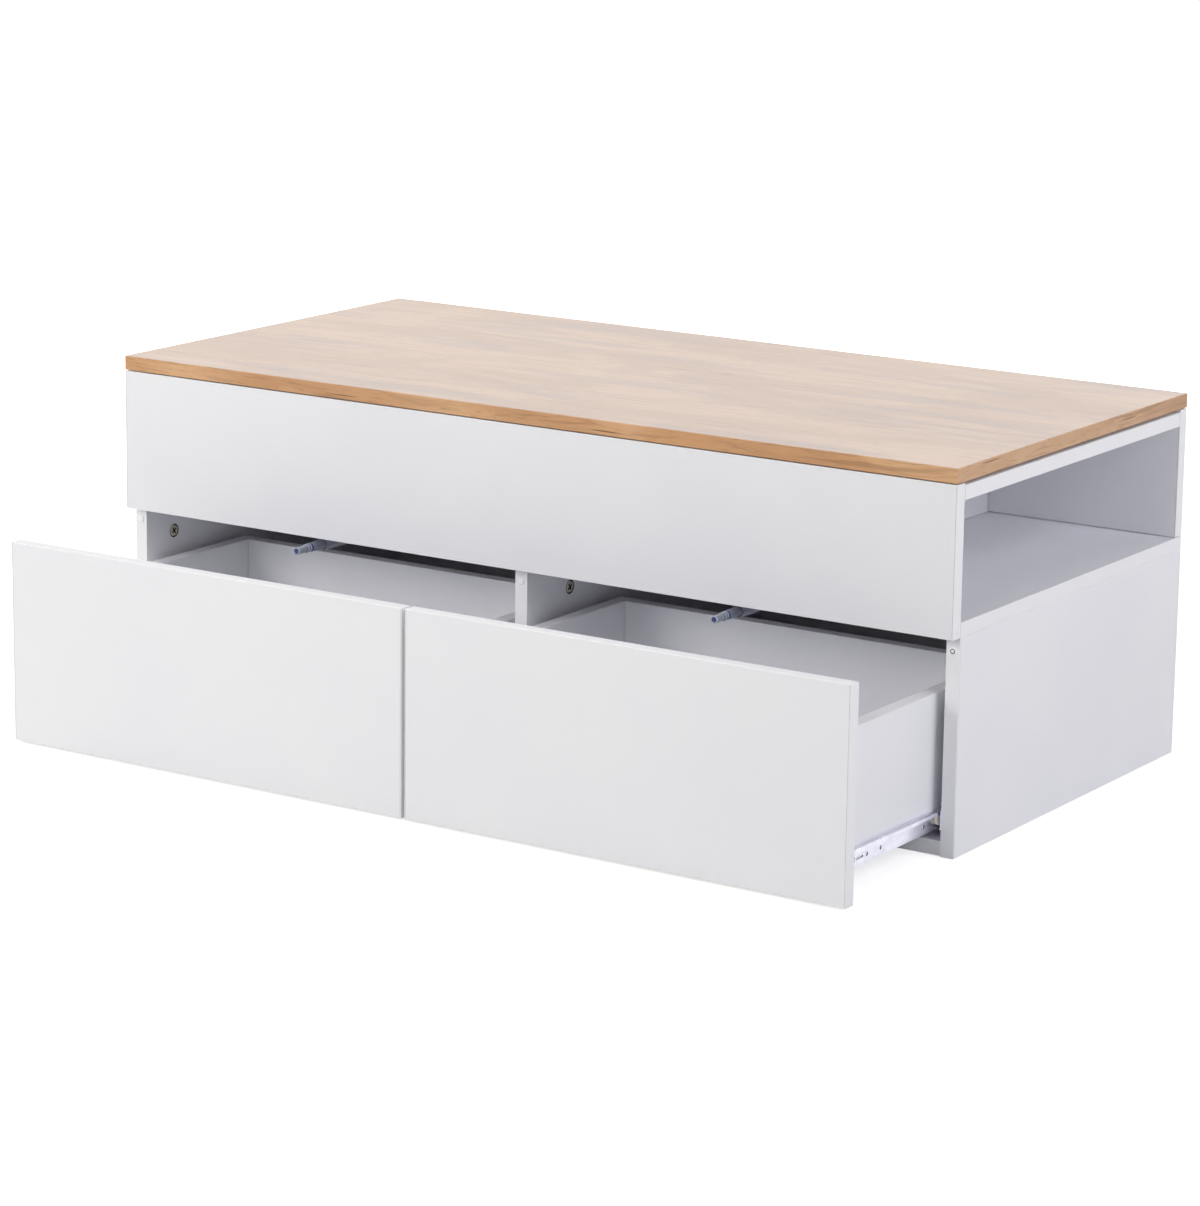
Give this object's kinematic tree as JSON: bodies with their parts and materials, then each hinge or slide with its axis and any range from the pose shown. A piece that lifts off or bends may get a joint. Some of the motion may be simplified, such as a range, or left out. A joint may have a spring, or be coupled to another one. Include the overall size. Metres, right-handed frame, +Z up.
{
  "type": "lift-top coffee table",
  "caption": "Low rectangular coffee table with push-open drawers, open end niches and a wood-effect top that rises on sprung parallel arms.",
  "frame": {"origin": "on the floor under the middle of the carcass", "axes": "+X along the table to the right seen from the drawers' side, +Z up, the drawers face -Y"},
  "size_m": [1.02, 0.69, 0.3887],
  "materials": {
    "white_board": "white melamine face, satin",
    "oak_top": "oak-effect melamine face, satin",
    "drawer_bottom": "thin white-faced hardboard",
    "slide_steel": "zinc plated",
    "roller_plastic": "beige moulded",
    "clear_bumper": "soft translucent",
    "cam_zinc": "die-cast zinc, dull",
    "screw_steel": "zinc plated",
    "latch_zinc": "bluish zinc plated",
    "spring_steel": "drawn wire",
    "lift_steel": "dark powder coat",
    "pin_steel": "zinc plated"
  },
  "bodies": {
    "carcass": {"base_pins": "pin_steel", "bottom_board": "white_board", "bumpers": "clear_bumper", "cam_locks": "cam_zinc", "carcass_screws": "screw_steel", "left_bay_left_rail": "slide_steel", "left_bay_right_rail": "slide_steel", "left_latch_housing": "latch_zinc", "left_latch_spring": "spring_steel", "lift_base_left": "lift_steel", "lift_base_right": "lift_steel", "lift_spring_left": "spring_steel", "lift_spring_right": "spring_steel", "lower_back": "white_board", "niche_top_left": "white_board", "niche_top_right": "white_board", "niche_wall_left": "white_board", "niche_wall_right": "white_board", "partition": "white_board", "right_bay_left_rail": "slide_steel", "right_bay_right_rail": "slide_steel", "right_latch_housing": "latch_zinc", "right_latch_spring": "spring_steel", "shelf_board": "white_board", "side_panel_left": "white_board", "side_panel_right": "white_board", "upper_back": "white_board", "upper_front": "white_board"},
    "left_drawer": {"left_drawer_back": "white_board", "left_drawer_bottom": "drawer_bottom", "left_drawer_cam_locks": "cam_zinc", "left_drawer_front": "white_board", "left_drawer_left_rail": "slide_steel", "left_drawer_left_side": "white_board", "left_drawer_rail_screws": "screw_steel", "left_drawer_right_rail": "slide_steel", "left_drawer_right_side": "white_board"},
    "left_front_rollers": {"left_front_rollers": "roller_plastic"},
    "left_rear_rollers": {"left_rear_rollers": "roller_plastic"},
    "left_plunger": {"left_latch_plunger": "latch_zinc"},
    "right_drawer": {"right_drawer_back": "white_board", "right_drawer_bottom": "drawer_bottom", "right_drawer_cam_locks": "cam_zinc", "right_drawer_front": "white_board", "right_drawer_left_rail": "slide_steel", "right_drawer_left_side": "white_board", "right_drawer_rail_screws": "screw_steel", "right_drawer_right_rail": "slide_steel", "right_drawer_right_side": "white_board"},
    "right_front_rollers": {"right_front_rollers": "roller_plastic"},
    "right_rear_rollers": {"right_rear_rollers": "roller_plastic"},
    "right_plunger": {"right_latch_plunger": "latch_zinc"},
    "front_arms": {"front_arm_left": "lift_steel", "front_arm_right": "lift_steel", "cross_bar": "lift_steel"},
    "rear_arms": {"rear_arm_left": "lift_steel", "rear_arm_right": "lift_steel"},
    "tabletop": {"top_board": "oak_top", "top_brackets": "lift_steel", "top_screws": "screw_steel"}
  },
  "joints": [
    {"name": "left_drawer_slide", "type": "slide", "parent": "carcass", "child": "left_drawer", "axis": [0, -1, 0], "range_m": [-0.1888, 0.0612]},
    {"name": "left_front_roller_spin", "type": "hinge", "parent": "carcass", "child": "left_front_rollers", "pos_m": [0, -0.2265, 0.0368], "axis": [1, 0, 0], "continuous": true},
    {"name": "left_rear_roller_spin", "type": "hinge", "parent": "left_drawer", "child": "left_rear_rollers", "pos_m": [0, -0.085, 0.0314], "axis": [1, 0, 0], "continuous": true},
    {"name": "left_plunger_slide", "type": "slide", "parent": "carcass", "child": "left_plunger", "axis": [0, -1, 0], "range_m": [-0.04, 0.013], "deforming": ["left_latch_spring"]},
    {"name": "right_drawer_slide", "type": "slide", "parent": "carcass", "child": "right_drawer", "axis": [0, -1, 0], "range_m": [-0.1888, 0.0612]},
    {"name": "right_front_roller_spin", "type": "hinge", "parent": "carcass", "child": "right_front_rollers", "pos_m": [0, -0.2265, 0.0368], "axis": [1, 0, 0], "continuous": true},
    {"name": "right_rear_roller_spin", "type": "hinge", "parent": "right_drawer", "child": "right_rear_rollers", "pos_m": [0, -0.085, 0.0314], "axis": [1, 0, 0], "continuous": true},
    {"name": "right_plunger_slide", "type": "slide", "parent": "carcass", "child": "right_plunger", "axis": [0, -1, 0], "range_m": [-0.04, 0.013], "deforming": ["right_latch_spring"]},
    {"name": "lift_pivot", "type": "hinge", "parent": "carcass", "child": "front_arms", "pos_m": [0, -0.15, 0.29], "axis": [1, 0, 0], "range_deg": [0, 101], "stiffness_Nm_per_rad": 4, "springref_deg": 101.01, "deforming": ["lift_spring_left", "lift_spring_right"]},
    {"name": "top_pivot", "type": "hinge", "parent": "front_arms", "child": "tabletop", "pos_m": [0, 0.083, 0.34809], "axis": [1, 0, 0], "range_deg": [-101, 0]},
    {"name": "rear_arm_pivot", "type": "hinge", "parent": "carcass", "child": "rear_arms", "pos_m": [0, -0.08, 0.25], "axis": [1, 0, 0], "range_deg": [0, 101]}
  ],
  "couplings": [
    {"joint": "left_front_roller_spin", "follows": "left_drawer_slide", "rad_per_m": 133.33},
    {"joint": "left_rear_roller_spin", "follows": "left_drawer_slide", "rad_per_m": 133.33},
    {"joint": "left_plunger_slide", "follows": "left_drawer_slide", "ratio": 0.21186},
    {"joint": "right_front_roller_spin", "follows": "right_drawer_slide", "rad_per_m": 133.33},
    {"joint": "right_rear_roller_spin", "follows": "right_drawer_slide", "rad_per_m": 133.33},
    {"joint": "right_plunger_slide", "follows": "right_drawer_slide", "ratio": 0.21186},
    {"joint": "top_pivot", "follows": "lift_pivot", "ratio": -1},
    {"joint": "rear_arm_pivot", "follows": "lift_pivot", "ratio": 1}
  ]
}
